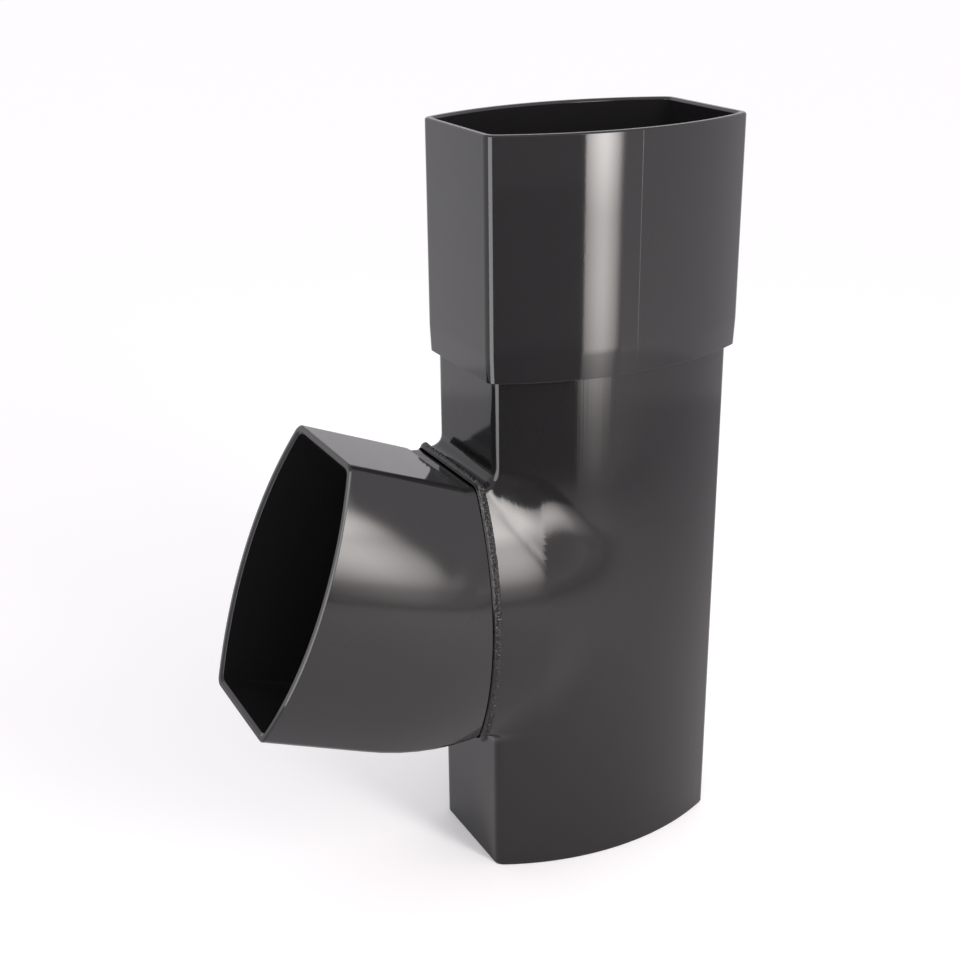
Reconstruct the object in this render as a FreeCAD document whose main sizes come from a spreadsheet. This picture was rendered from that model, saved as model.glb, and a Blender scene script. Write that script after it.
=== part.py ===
import FreeCAD, Part
import math
import os
import Sketcher
from FreeCAD import Placement, Rotation, Vector

# Downpipe tee for bowed rectangular rainwater pipe, 100 x 70 mm.
# The pipe stands along Z with its spigot end on z = 0 and its axis on the Z axis.
# Its bowed faces look along -Y and +Y, and the branch leaves the narrow face on the -X side.

doc = FreeCAD.newDocument("downpipe_tee")

# Driving dimensions, in millimetres and degrees
SIZES = [
    ("pipe_width", 100.0, "pipe across its two narrow faces"),
    ("pipe_depth", 70.0, "pipe across the crowns of its two bowed faces"),
    ("bow_radius", 109.0, "radius of the pipe's bowed faces"),
    ("pipe_corner", 4.0, "outer corner radius of the pipe"),
    ("pipe_wall", 2.4, "wall of the pipe and of the drawn neck"),
    ("sleeve_gap", 0.2, "glue gap between a pipe and the sleeve round it"),
    ("sleeve_wall", 3.0, "wall of both moulded sleeves"),
    ("sleeve_corner", 4.5, "outer corner radius of both sleeves"),
    ("socket_edge", 204.5, "height of the upper sleeve's lower edge"),
    ("socket_length", 86.5, "length of the upper sleeve"),
    ("socket_depth", 42.0, "depth of both sockets, from the mouth to the stop rib"),
    ("stop_thickness", 3.0, "thickness of the stop rib inside a sleeve"),
    ("stop_step", 2.2, "how far the stop rib stands into the bore"),
    ("foot_height", 10.0, "height of the upper sleeve's drawn-in foot"),
    ("foot_inset", 0.4, "how far that foot is drawn in at its edge"),
    ("mouth_bevel", 0.6, "bevel on the outer edge of both mouths"),
    ("lead_in", 0.9, "bevel on the inner edge of both mouths"),
    ("branch_rise", 21.5, "angle of the branch sleeve's barrel above level"),
    ("neck_level", 113.9, "height of the neck's level axis at its mouth"),
    ("neck_length", 8.4, "upright joint of neck and sleeve from the pipe's narrow side"),
    ("neck_inset", 0.5, "how far the neck's mouth lies inside the sleeve's outline"),
    ("neck_drop", 3.4, "how much lower the neck's section is centred from its ridge inwards"),
    ("ridge_inset", 15.0, "ridge where the neck's sides turn, inwards from the pipe's narrow side"),
    ("ridge_taper", 0.4, "how much less deep the neck is at its ridge than at its mouth"),
    ("neck_sink", 1.4, "how far the neck's sides lie below the bowed faces on the pipe axis"),
    ("neck_flatness", 1200.0, "bow radius of the neck's sides on the pipe axis"),
    ("neck_blend", 2.2, "fillet between neck and pipe, outside and inside"),
    ("level_run", 4.4, "level length of the branch sleeve between its joint and its bend"),
    ("bend_inside", 4.0, "radius of the bend along the top of the branch sleeve"),
    ("barrel_spare", 0.4, "barrel of the branch sleeve between its bend and its stop rib"),
    ("bead_width", 3.6, "width of the weld bead along the branch"),
    ("bead_height", 1.4, "how far the bead stands out from the sleeve"),
    ("bead_bevel", 1.1, "bevel on the bead's two edges"),
]

sizes = doc.addObject("Spreadsheet::Sheet", "sizes")
for row, (alias, value, meaning) in enumerate(SIZES, start=1):
    sizes.set(f"A{row}", alias)
    sizes.set(f"B{row}", str(value))
    sizes.setAlias(f"B{row}", alias)
    sizes.set(f"C{row}", meaning)
doc.recompute()

# How much each section is larger than the pipe's on every side, as the sheet reckons it
SLEEVE = "(sizes.sleeve_gap + sizes.sleeve_wall)"
SLEEVE_BORE = "sizes.sleeve_gap"
STOP_BORE = "(sizes.sleeve_gap - sizes.stop_step)"
PIPE = "0"
PIPE_BORE = "(-sizes.pipe_wall)"
NECK = "(sizes.sleeve_gap + sizes.sleeve_wall - sizes.neck_inset)"
BEAD = "(sizes.sleeve_gap + sizes.sleeve_wall + sizes.bead_height)"
NECK_BORE = "(sizes.sleeve_gap + sizes.sleeve_wall - sizes.neck_inset - sizes.pipe_wall)"

# Corner radii of those sections
PIPE_CORNER = "sizes.pipe_corner"
SLEEVE_CORNER = "sizes.sleeve_corner"
SLEEVE_BORE_CORNER = "(sizes.pipe_corner + sizes.sleeve_gap)"
PIPE_BORE_CORNER = "(sizes.pipe_corner - sizes.pipe_wall)"
NECK_BORE_CORNER = "(sizes.sleeve_corner - sizes.pipe_wall)"
BEAD_CORNER = "(sizes.sleeve_corner + sizes.bead_height)"

# The pipe ends against the upper sleeve's stop rib
PIPE_LENGTH = "(sizes.socket_edge + sizes.socket_length - sizes.socket_depth - sizes.stop_thickness)"

# How far a bore's blank runs past the pipe's ends
OVER_RUN = 2

# Lengths closer than this count as the same
NEAR = 0.01

# The joint of neck and branch sleeve from the pipe axis
JOINT = "(sizes.pipe_width / 2 + sizes.neck_length)"

# The branch sleeve's bend along its axis: its radius, and from its corner point to where it starts
BEND_RADIUS = "(sizes.pipe_width / 2 + sizes.sleeve_gap + sizes.sleeve_wall + sizes.bend_inside)"
BEND_START = f"({BEND_RADIUS} * tan(sizes.branch_rise / 2 * 1 deg))"

# The branch mouth and its stop rib, from the bend's corner point along the barrel
RIB_END = f"({BEND_START} + sizes.barrel_spare)"
BRANCH_MOUTH = f"({RIB_END} + sizes.stop_thickness + sizes.socket_depth)"


def value_of(expression):
    return float(sizes.evalExpression(expression.replace("sizes.", "")))


def bind(thing, path, expression):
    thing.setExpression(path, expression)


def facing_branch(thing, path, turn, reach, height):
    # A placement that far out from the pipe axis towards the branch and that far up.
    # Its Z points away from the pipe and is turned up by the angle, its Y is level.
    setattr(thing, path, Placement(Vector(), Rotation(Vector(0, -1, 0), 45)))
    bind(thing, f"{path}.Rotation.Angle", f"(90 - {turn}) * 1 deg")
    bind(thing, f"{path}.Base.x", f"-({reach})")
    bind(thing, f"{path}.Base.z", height)


def pipe_section(grow):
    # The half width, half depth and bow radius of the pipe's section, made larger all round.
    return (
        f"(sizes.pipe_width / 2 + {grow})",
        f"(sizes.pipe_depth / 2 + {grow})",
        f"(sizes.bow_radius + {grow})",
    )


def bowed_outline(sketch, section, corner):
    # A rectangle with two straight narrow sides and two bowed wide ones, rounded at its corners.
    half_width, half_depth, bow = section
    bow_centre = f"{bow} - {half_depth}"
    a, b, r, c = (value_of(e) for e in (half_width, half_depth, bow, corner))
    rise = r - b
    corner_y = math.sqrt((r - c) ** 2 - (a - c) ** 2) - rise
    turn = math.atan2(corner_y + rise, a - c)
    up = Vector(0, 0, 1)

    def arc(x, y, radius, first, last):
        return Part.ArcOfCircle(Part.Circle(Vector(x, y, 0), up, radius), first, last)

    right, top, left, bottom = 0, 2, 4, 6
    sketch.addGeometry([
        Part.LineSegment(Vector(a, -corner_y, 0), Vector(a, corner_y, 0)),
        arc(a - c, corner_y, c, 0, turn),
        arc(0, -rise, r, turn, math.pi - turn),
        arc(c - a, corner_y, c, math.pi - turn, math.pi),
        Part.LineSegment(Vector(-a, corner_y, 0), Vector(-a, -corner_y, 0)),
        arc(c - a, -corner_y, c, math.pi, math.pi + turn),
        arc(0, rise, r, math.pi + turn, 2 * math.pi - turn),
        arc(a - c, -corner_y, c, 2 * math.pi - turn, 2 * math.pi),
    ], False)
    sides = 8
    for side in range(sides):
        sketch.addConstraint(Sketcher.Constraint("Tangent", side, 2, (side + 1) % sides, 1))
    sketch.addConstraint([
        Sketcher.Constraint("Vertical", right),
        Sketcher.Constraint("Vertical", left),
        Sketcher.Constraint("PointOnObject", top, 3, -2),
        Sketcher.Constraint("PointOnObject", bottom, 3, -2),
        Sketcher.Constraint("Equal", top, bottom),
        Sketcher.Constraint("Equal", 1, 3),
        Sketcher.Constraint("Equal", 1, 5),
        Sketcher.Constraint("Equal", 1, 7),
    ])
    for name, expression, constraint in (
        ("bow", bow, ("Radius", top)),
        ("corner", corner, ("Radius", 1)),
        ("right_side", half_width, ("DistanceX", -1, 1, right, 1)),
        ("left_side", half_width, ("DistanceX", left, 1, -1, 1)),
        ("top_bow_centre", bow_centre, ("DistanceY", top, 3, -1, 1)),
        ("bottom_bow_centre", bow_centre, ("DistanceY", -1, 1, bottom, 3)),
    ):
        index = sketch.addConstraint(Sketcher.Constraint(*constraint, value_of(expression)))
        sketch.renameConstraint(index, name)
        bind(sketch, f"Constraints.{name}", expression)


def loose_sketch(name):
    return doc.addObject("Sketcher::SketchObject", name)


def body_sketch(body, name):
    # A sketch on the body's own XY plane, moved from it by its attachment offset.
    sketch = body.newObject("Sketcher::SketchObject", name)
    flat = next(f for f in body.Origin.OriginFeatures if f.Role == "XY_Plane")
    sketch.AttachmentSupport = (flat, [""])
    sketch.MapMode = "FlatFace"
    return sketch


def extrusion(name, sketch, length):
    solid = doc.addObject("Part::Extrusion", name)
    solid.Base = sketch
    solid.DirMode = "Normal"
    solid.Solid = True
    bind(solid, "LengthFwd", length)
    return solid


def loft(name, sections):
    solid = doc.addObject("Part::Loft", name)
    solid.Sections = sections
    solid.Solid = True
    solid.Ruled = True
    return solid


def boolean(kind, name, base, tool):
    result = doc.addObject(kind, name)
    result.Base = base
    result.Tool = tool
    return result


def edge_numbers(shape, wanted):
    return [
        number for number, edge in enumerate(shape.Edges, start=1)
        if any(edge.isSame(other) for other in wanted)]


def common_edges(joined, first, second):
    # The numbers of the edges where two joined solids meet: those that lie on the skin of both.
    numbers = []
    for number, edge in enumerate(joined.Shape.Edges, start=1):
        first_end, last_end = edge.ParameterRange
        spots = [edge.valueAt(first_end + part * (last_end - first_end)) for part in (0.1, 0.5, 0.9)]
        skins = (first.Shape.Shells[0], second.Shape.Shells[0])
        if all(skin.distToShape(Part.Vertex(spot))[0] < NEAR for skin in skins for spot in spots):
            numbers.append(number)
    return numbers


def edges_eased(kind, name, base, edges, size_name):
    # A fillet or a chamfer of one size on the numbered edges of the base.
    result = doc.addObject(kind, name)
    result.Base = base
    size = float(sizes.get(size_name))
    result.Edges = [(number, size, size) for number in edges]
    return result


# Main pipe: an extruded bowed pipe with a neck drawn out of its narrow face

def pipe_with_neck(name, grow, corner, neck_grow, neck_corner, start, length, neck_mouth):
    # One skin of the main pipe: the straight prism, the neck drawn out of it, and the blend between.
    prism_sketch = loose_sketch(f"{name}_prism_section")
    bowed_outline(prism_sketch, pipe_section(grow), corner)
    bind(prism_sketch, "Placement.Base.z", start)
    prism = extrusion(f"{name}_prism", prism_sketch, length)

    # The neck's section at its mouth, at its ridge and on the pipe axis, where it is flatter
    # and sunk below the bowed faces
    half_height, half_depth, bow = pipe_section(neck_grow)
    lowered = "sizes.neck_level - sizes.neck_drop"
    ridge_depth = f"({half_depth} - sizes.ridge_taper)"
    sunk_depth = f"(sizes.pipe_depth / 2 + {grow} - sizes.neck_sink)"
    sections = []
    for place, section, reach, height in (
        ("root", (half_height, sunk_depth, "sizes.neck_flatness"), "0", lowered),
        ("ridge", (half_height, ridge_depth, bow), "(sizes.pipe_width / 2 - sizes.ridge_inset)", lowered),
        ("mouth", (half_height, half_depth, bow), neck_mouth, "sizes.neck_level"),
    ):
        sketch = loose_sketch(f"{name}_neck_{place}")
        bowed_outline(sketch, section, neck_corner)
        facing_branch(sketch, "Placement", "0", reach, height)
        sections.append(sketch)
    neck = loft(f"{name}_neck", sections)
    joined = boolean("Part::Fuse", f"{name}_joined", prism, neck)
    doc.recompute()
    meeting = common_edges(joined, prism, neck)
    return edges_eased("Part::Fillet", f"{name}_blended", joined, meeting, "neck_blend")


outer_skin = pipe_with_neck(
    "outer", PIPE, PIPE_CORNER, NECK, SLEEVE_CORNER, "0", PIPE_LENGTH, JOINT)
inner_skin = pipe_with_neck(
    "inner", PIPE_BORE, PIPE_BORE_CORNER, NECK_BORE, NECK_BORE_CORNER,
    f"(-{OVER_RUN})", f"({PIPE_LENGTH} + 2 * {OVER_RUN})", f"({JOINT} + {OVER_RUN})")
main_pipe = boolean("Part::Cut", "main_pipe", outer_skin, inner_skin)


# Upper socket: a moulded sleeve glued over the pipe's upper end

def section_at(body, name, height, grow, corner):
    sketch = body_sketch(body, f"{body.Name}_{name}")
    bowed_outline(sketch, pipe_section(grow), corner)
    bind(sketch, "AttachmentOffset.Base.z", height)
    return sketch


def pad(body, name, sketch, length):
    feature = body.newObject("PartDesign::Pad", f"{body.Name}_{name}")
    feature.Profile = sketch
    bind(feature, "Length", length)
    return feature


def pocket(body, name, sketch, length=None):
    # Cuts down the sketch's Z, through everything where no length is given.
    feature = body.newObject("PartDesign::Pocket", f"{body.Name}_{name}")
    feature.Profile = sketch
    if length is None:
        feature.Type = "ThroughAll"
    else:
        bind(feature, "Length", length)
    return feature


def ring_edges(feature, height, inside):
    # The names of the edges round the end face at that height: its inner ring, or its outer one.
    names = []
    for face in feature.Shape.Faces:
        box = face.BoundBox
        if box.ZMax - box.ZMin < NEAR and abs(box.ZMax - height) < NEAR:
            outer_ring = face.OuterWire
            for wire in face.Wires:
                if wire.isSame(outer_ring) != inside:
                    names += [f"Edge{number}" for number in edge_numbers(feature.Shape, wire.Edges)]
    return names


def edge_work(body, kind, name, base, edges, path, expression):
    feature = body.newObject(kind, f"{body.Name}_{name}")
    feature.Base = (base, edges)
    bind(feature, path, expression)
    return feature


def bore_socket(body, mouth):
    # The socket down to the stop rib, and the rib's own opening.
    socket = section_at(body, "socket_section", mouth, SLEEVE_BORE, SLEEVE_BORE_CORNER)
    pocket(body, "socket", socket, "sizes.socket_depth")
    rib = section_at(body, "rib_section", mouth, STOP_BORE, SLEEVE_BORE_CORNER)
    return pocket(body, "rib_opening", rib, "sizes.socket_depth + sizes.stop_thickness")


def finish_mouth(body, base, mouth):
    doc.recompute()
    height = value_of(mouth)
    bevel = edge_work(
        body, "PartDesign::Chamfer", "mouth_bevel", base, ring_edges(base, height, False),
        "Size", "sizes.mouth_bevel")
    doc.recompute()
    return edge_work(
        body, "PartDesign::Chamfer", "lead_in", bevel, ring_edges(bevel, height, True),
        "Size", "sizes.lead_in")


upper_socket = doc.addObject("PartDesign::Body", "upper_socket")
bind(upper_socket, "Placement.Base.z", "sizes.socket_edge")
barrel_section = section_at(upper_socket, "barrel_section", "0", SLEEVE, SLEEVE_CORNER)
pad(upper_socket, "barrel", barrel_section, "sizes.socket_length")
bore_socket(upper_socket, "sizes.socket_length")
upper_far = "(sizes.socket_length - sizes.socket_depth - sizes.stop_thickness)"
upper_far_section = section_at(upper_socket, "far_section", upper_far, SLEEVE_BORE, SLEEVE_BORE_CORNER)
upper_bored = pocket(upper_socket, "far_bore", upper_far_section)
doc.recompute()
foot = edge_work(
    upper_socket, "PartDesign::Chamfer", "foot", upper_bored, ring_edges(upper_bored, 0, False),
    "Size", "sizes.foot_height")
foot.ChamferType = "Two distances"
bind(foot, "Size2", "sizes.foot_inset")
finish_mouth(upper_socket, foot, "sizes.socket_length")


# Branch socket: the same kind of sleeve with a bend, from the neck's level to the branch's rise

def bend_line(sketch):
    # The axis the sleeve's bend turns about, drawn level in the section, above the barrel.
    radius = value_of(BEND_RADIUS)
    ends = Vector(radius, -radius, 0), Vector(radius, radius, 0)
    line = sketch.addGeometry(Part.LineSegment(*ends), True)
    sketch.addConstraint(Sketcher.Constraint("Symmetric", line, 1, line, 2, -1))
    sketch.addConstraint(Sketcher.Constraint("DistanceY", line, 1, line, 2, 2 * radius))
    bend = sketch.addConstraint(Sketcher.Constraint("DistanceX", -1, 1, line, 1, radius))
    sketch.renameConstraint(bend, "bend")
    bind(sketch, "Constraints.bend", BEND_RADIUS)


def bend_section(body, name, turn, grow, corner):
    # A section of the body, turned that far round its bend from the barrel towards level.
    sketch = body_sketch(body, f"{body.Name}_{name}")
    bowed_outline(sketch, pipe_section(grow), corner)
    sketch.AttachmentOffset = Placement(Vector(), Rotation(Vector(0, -1, 0), 45))
    bind(sketch, "AttachmentOffset.Rotation.Angle", f"{turn} * 1 deg")
    bind(sketch, "AttachmentOffset.Base.x", f"{BEND_RADIUS} * (1 - cos({turn} * 1 deg))")
    bind(sketch, "AttachmentOffset.Base.z", f"{BEND_START} - {BEND_RADIUS} * sin({turn} * 1 deg)")
    return sketch


branch_socket = doc.addObject("PartDesign::Body", "branch_socket")
facing_branch(
    branch_socket, "Placement", "sizes.branch_rise",
    f"{JOINT} + sizes.level_run + {BEND_START}", "sizes.neck_level")
branch_section = section_at(branch_socket, "barrel_section", BEND_START, SLEEVE, SLEEVE_CORNER)
bend_line(branch_section)
pad(branch_socket, "barrel", branch_section, f"{BRANCH_MOUTH} - {BEND_START}")
bend = branch_socket.newObject("PartDesign::Revolution", "branch_socket_bend")
bend.Profile = branch_section
bend.ReferenceAxis = (branch_section, ["Axis0"])
bend.Reversed = True
bind(bend, "Angle", "sizes.branch_rise * 1 deg")
run_section = bend_section(branch_socket, "run_section", "sizes.branch_rise", SLEEVE, SLEEVE_CORNER)
run = pad(branch_socket, "level_run", run_section, "sizes.level_run")
run.Reversed = True

bore_socket(branch_socket, BRANCH_MOUTH)
bore_sections = [
    bend_section(branch_socket, f"bore_{place}", turn, SLEEVE_BORE, SLEEVE_BORE_CORNER)
    for place, turn in (("start", "0"), ("middle", "sizes.branch_rise / 2"), ("end", "sizes.branch_rise"))]
spare = pocket(branch_socket, "spare_bore", bore_sections[0], "sizes.barrel_spare")
spare.Reversed = True
bend_bore = branch_socket.newObject("PartDesign::SubtractiveLoft", "branch_socket_bend_bore")
bend_bore.Profile = bore_sections[0]
bend_bore.Sections = bore_sections[1:]
bend_bore.Ruled = True
branch_bored = pocket(branch_socket, "run_bore", bore_sections[-1])
finish_mouth(branch_socket, branch_bored, BRANCH_MOUTH)


# Weld bead: a bevelled band round the joint, fitted over the neck and the sleeve

def upright_band(name, grow, corner, reach, length):
    # A prism round the neck's level axis, from that far out and onwards.
    section = loose_sketch(f"{name}_section")
    bowed_outline(section, pipe_section(grow), corner)
    facing_branch(section, "Placement", "0", reach, "sizes.neck_level")
    return extrusion(name, section, length)


sleeve_end = upright_band("sleeve_end", SLEEVE, SLEEVE_CORNER, JOINT, "sizes.bead_width")
band = upright_band("band", BEAD, BEAD_CORNER, f"({JOINT} - sizes.bead_width / 2)", "sizes.bead_width")
doc.recompute()
# The band's two end faces are the only ones with more than four edges
ends = [face for face in band.Shape.Faces if len(face.Edges) > 4]
rims = [edge for face in ends for edge in face.Edges]
rim_numbers = edge_numbers(band.Shape, rims)
bevelled_band = edges_eased("Part::Chamfer", "bevelled_band", band, rim_numbers, "bead_bevel")
bead_on_neck = boolean("Part::Cut", "bead_on_neck", bevelled_band, outer_skin)
weld_bead = boolean("Part::Cut", "weld_bead", bead_on_neck, sleeve_end)


# Write each piece

NODES = {
    "main_pipe": main_pipe,
    "upper_socket": upper_socket,
    "branch_socket": branch_socket,
    "weld_bead": weld_bead,
}
for node, piece in NODES.items():
    piece.Label = node
doc.recompute()

for thing in doc.Objects:
    if "Invalid" in thing.State or "Error" in thing.State:
        raise RuntimeError(f"{thing.Name} failed: {thing.State}")
for node, piece in NODES.items():
    shape = piece.Shape
    if shape.isNull() or not shape.isValid() or len(shape.Solids) != 1:
        raise RuntimeError(f"{node} is not one valid solid")

os.makedirs("parts", exist_ok=True)
for node, piece in NODES.items():
    piece.Shape.exportStep(f"parts/{node}.step")
    box = piece.Shape.BoundBox
    print(f"{node}: {piece.Shape.Volume / 1000:.1f} cm3, "
          f"x {box.XMin:.1f} {box.XMax:.1f}, y {box.YMin:.1f} {box.YMax:.1f}, z {box.ZMin:.1f} {box.ZMax:.1f}")
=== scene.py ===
import math
import bpy
import numpy as np
from mathutils import Matrix, Vector, noise


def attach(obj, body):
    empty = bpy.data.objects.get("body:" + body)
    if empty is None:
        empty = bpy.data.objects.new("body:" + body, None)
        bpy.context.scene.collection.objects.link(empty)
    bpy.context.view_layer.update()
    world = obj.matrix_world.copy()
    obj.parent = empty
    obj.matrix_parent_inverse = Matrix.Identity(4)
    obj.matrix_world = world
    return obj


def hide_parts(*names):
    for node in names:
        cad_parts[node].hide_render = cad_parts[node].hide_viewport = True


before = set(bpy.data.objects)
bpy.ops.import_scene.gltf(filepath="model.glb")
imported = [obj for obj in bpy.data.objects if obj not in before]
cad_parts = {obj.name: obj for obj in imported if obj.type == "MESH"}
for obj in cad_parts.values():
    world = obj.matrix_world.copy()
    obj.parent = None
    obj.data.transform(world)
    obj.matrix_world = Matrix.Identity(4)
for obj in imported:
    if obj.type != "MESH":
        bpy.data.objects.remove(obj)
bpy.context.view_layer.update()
print("frame loaded")


# Camera

cameraView = {
    "azimuth": -26.916,     # degrees round the part, 0 looks along +Y
    "elevation": 21.767,    # degrees above level
    "roll": -0.648,         # degrees
    "eye": (-0.28405, -0.47207, 0.36959),
    "lens": 56.39,
    "sensor": 36.0,
    "clipStart": 0.01,
}


def makeCamera():
    data = bpy.data.cameras.new("camera")
    data.lens = cameraView["lens"]
    data.sensor_width = cameraView["sensor"]
    data.clip_start = cameraView["clipStart"]
    camera = bpy.data.objects.new("camera", data)
    azimuth, elevation, roll = (math.radians(cameraView[k]) for k in ("azimuth", "elevation", "roll"))
    back = Vector((math.sin(azimuth) * math.cos(elevation), -math.cos(azimuth) * math.cos(elevation),
                   math.sin(elevation)))
    right = Vector((0, 0, 1)).cross(back).normalized()
    up = back.cross(right)
    tiltedRight = right * math.cos(roll) + up * math.sin(roll)
    tiltedUp = up * math.cos(roll) - right * math.sin(roll)
    turn = Matrix((tiltedRight, tiltedUp, back)).transposed().to_4x4()
    camera.matrix_world = Matrix.Translation(Vector(cameraView["eye"])) @ turn
    bpy.context.scene.collection.objects.link(camera)
    bpy.context.scene.camera = camera
    bpy.context.scene.view_settings.view_transform = "Standard"


# Studio, in metres. Azimuths are degrees from -Y towards +X.

studio = {
    "surround": 1.05,       # brightness of the white studio all round
    "surroundTint": (1.0, 0.968, 1.008),
    "skyTones": ((0.0, 1.0), (0.5, 1.0), (0.8, 0.80), (1.0, 0.80)),      # over the sine of the height
    "floorTone": 0.95,
    "floorGlow": 0.12,
    "floorSize": 80.0,
    "floorLevel": -0.0002,
    "matte": 0.8,           # roughness of floor and cards
}
softbox = {
    "azimuth": 15.0,
    "distance": 0.42,
    "left": -0.071,         # its edges, from the line that faces the part
    "right": 0.056,
    "low": 0.002,
    "high": 0.620,
    "glow": 19.5,
    "tint": (1.0, 0.955, 0.93),
    "across": ((0.0, 0.45), (0.15, 0.72), (0.35, 0.97), (0.5, 1.0), (0.65, 0.8), (0.8, 0.52),
               (0.93, 0.12), (1.0, 0.05)),
    "upwards": ((0.0, 0.055), (0.016, 0.07), (0.032, 0.095), (0.045, 0.115), (0.065, 0.13), (0.09, 0.19),
                (0.118, 0.32), (0.15, 0.44), (0.174, 0.50), (0.2, 0.56), (0.235, 0.59), (0.29, 0.60),
                (0.36, 0.95), (0.6, 0.8), (1.0, 0.5)),
}
edgeLight = {
    "azimuth": -68.0,
    "distance": 0.36,
    "width": 0.19,
    "low": 0.005,
    "high": 0.60,
    "glow": 4.6,
}
darkCard = {
    "from": -50.0,          # azimuths of its two ends
    "to": 6.0,
    "distance": 0.43,
    "levels": (0.0, 0.10, 0.20, 0.80),     # heights of its borders
    "tones": (0.08, 0.19, 0.30),           # painted shade of the strips between them, from its foot up
    "steps": 24,
}
backCard = {
    "azimuth": 146.0,
    "distance": 1.5,
    "reach": 0.9,           # to either side
    "high": 0.7,
    "tone": 0.78,
}
floorSheet = {
    "tones": ((0.0, 0.76), (0.3, 0.76), (0.7, 0.88)),      # painted shade, lighter towards the middle as a painted pool of light; from its rim towards its middle
    "reach": 0.60,
    "level": -0.0001,
    "steps": 64,
}


def plainPaint(name, tone):
    material = bpy.data.materials.new(name)
    material.use_nodes = True
    paint = material.node_tree.nodes["Principled BSDF"]
    paint.inputs["Base Color"].default_value = (tone, tone, tone, 1)
    paint.inputs["Roughness"].default_value = studio["matte"]
    paint.inputs["Specular IOR Level"].default_value = 0.0
    return material


def rampNode(tree, stops, value):
    ramp = tree.nodes.new("ShaderNodeValToRGB")
    ramp.color_ramp.interpolation = "LINEAR"
    marks = ramp.color_ramp.elements
    while len(marks) < len(stops):
        marks.new(0.5)
    for mark, (place, tone) in zip(marks, stops):
        mark.position = place
        mark.color = (tone, tone, tone, 1)
    tree.links.new(value, ramp.inputs["Fac"])
    return ramp.outputs["Color"]


def vectorNode(tree, operation, first, second):
    # second is a fixed colour or another node's output
    node = tree.nodes.new("ShaderNodeVectorMath")
    node.operation = operation
    tree.links.new(first, node.inputs[0])
    if isinstance(second, bpy.types.NodeSocket):
        tree.links.new(second, node.inputs[1])
    else:
        node.inputs[1].default_value = second
    return node.outputs["Vector"]


def standing(azimuth):
    # Outward and level directions of something upright that faces the part
    angle = math.radians(azimuth)
    return Vector((math.sin(angle), -math.cos(angle), 0)), Vector((math.cos(angle), math.sin(angle), 0))


def uprightCorners(azimuth, distance, left, right, low, high):
    outward, along = standing(azimuth)
    return [outward * distance + along * x + Vector((0, 0, z))
            for x, z in ((left, low), (right, low), (right, high), (left, high))]


def stagePiece(name, corners, faces, material):
    mesh = bpy.data.meshes.new(name)
    mesh.from_pydata(corners, [], faces)
    mesh.materials.append(material)
    piece = bpy.data.objects.new(name, mesh)
    bpy.context.scene.collection.objects.link(piece)
    piece.visible_camera = False
    return piece


def onlyReflected(piece):
    piece.visible_shadow = False
    piece.visible_diffuse = False


def makeSoftbox():
    # A tall soft light that is brightest a little left of its middle and dim at its foot,
    # and nowhere darker than the studio round it
    corners = uprightCorners(*(softbox[k] for k in ("azimuth", "distance", "left", "right", "low", "high")))
    glow = bpy.data.materials.new("softboxGlow")
    glow.use_nodes = True
    tree = glow.node_tree
    tree.nodes.remove(tree.nodes["Principled BSDF"])
    emission = tree.nodes.new("ShaderNodeEmission")
    emission.inputs["Strength"].default_value = softbox["glow"]
    parts = tree.nodes.new("ShaderNodeSeparateXYZ")
    tree.links.new(tree.nodes.new("ShaderNodeUVMap").outputs["UV"], parts.inputs["Vector"])
    across = rampNode(tree, softbox["across"], parts.outputs["X"])
    upwards = rampNode(tree, softbox["upwards"], parts.outputs["Y"])
    least = [studio["surround"] / softbox["glow"]] * 3
    bright = vectorNode(tree, "MAXIMUM", vectorNode(tree, "MULTIPLY", across, upwards), least)
    tree.links.new(vectorNode(tree, "MULTIPLY", bright, softbox["tint"]), emission.inputs["Color"])
    tree.links.new(emission.outputs["Emission"], tree.nodes["Material Output"].inputs["Surface"])
    piece = stagePiece("softbox", corners, [(0, 1, 2, 3)], glow)
    layer = piece.data.uv_layers.new(name="spread")
    for corner, spot in zip(layer.data, ((0, 0), (1, 0), (1, 1), (0, 1))):
        corner.uv = spot


def makeEdgeLight():
    # Lights the narrow face's edges in reflections, and nothing else
    outward, along = standing(edgeLight["azimuth"])
    height = edgeLight["high"] - edgeLight["low"]
    data = bpy.data.lights.new("edgeLight", "AREA")
    data.shape = "RECTANGLE"
    data.size = edgeLight["width"]
    data.size_y = height
    data.energy = edgeLight["glow"] * math.pi * edgeLight["width"] * height
    lamp = bpy.data.objects.new("edgeLight", data)
    place = outward * edgeLight["distance"] + Vector((0, 0, edgeLight["low"] + height / 2))
    turn = Matrix((along, Vector((0, 0, 1)), outward)).transposed().to_4x4()
    lamp.matrix_world = Matrix.Translation(place) @ turn
    lamp.visible_camera = False
    lamp.visible_diffuse = False
    bpy.context.scene.collection.objects.link(lamp)


def makeDarkCard():
    # Painted shade for the dark side of the studio: a curved card between camera and part that only
    # reflections see, darkest at its foot
    steps, levels = darkCard["steps"], darkCard["levels"]
    sweep = darkCard["to"] - darkCard["from"]
    columns = [standing(darkCard["from"] + sweep * i / steps)[0] for i in range(steps + 1)]
    corners = [column * darkCard["distance"] + Vector((0, 0, z)) for z in levels for column in columns]
    faces, strips = [], []
    for strip in range(len(levels) - 1):
        for i in range(steps):
            first = strip * (steps + 1) + i
            faces.append((first, first + 1, first + steps + 2, first + steps + 1))
            strips.append(strip)
    foot, middle, top = darkCard["tones"]
    card = stagePiece("darkCard", corners, faces, plainPaint("cardFoot", foot))
    card.data.materials.append(plainPaint("cardMiddle", middle))
    card.data.materials.append(plainPaint("cardTop", top))
    for polygon, strip in zip(card.data.polygons, strips):
        polygon.material_index = strip
    onlyReflected(card)


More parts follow.
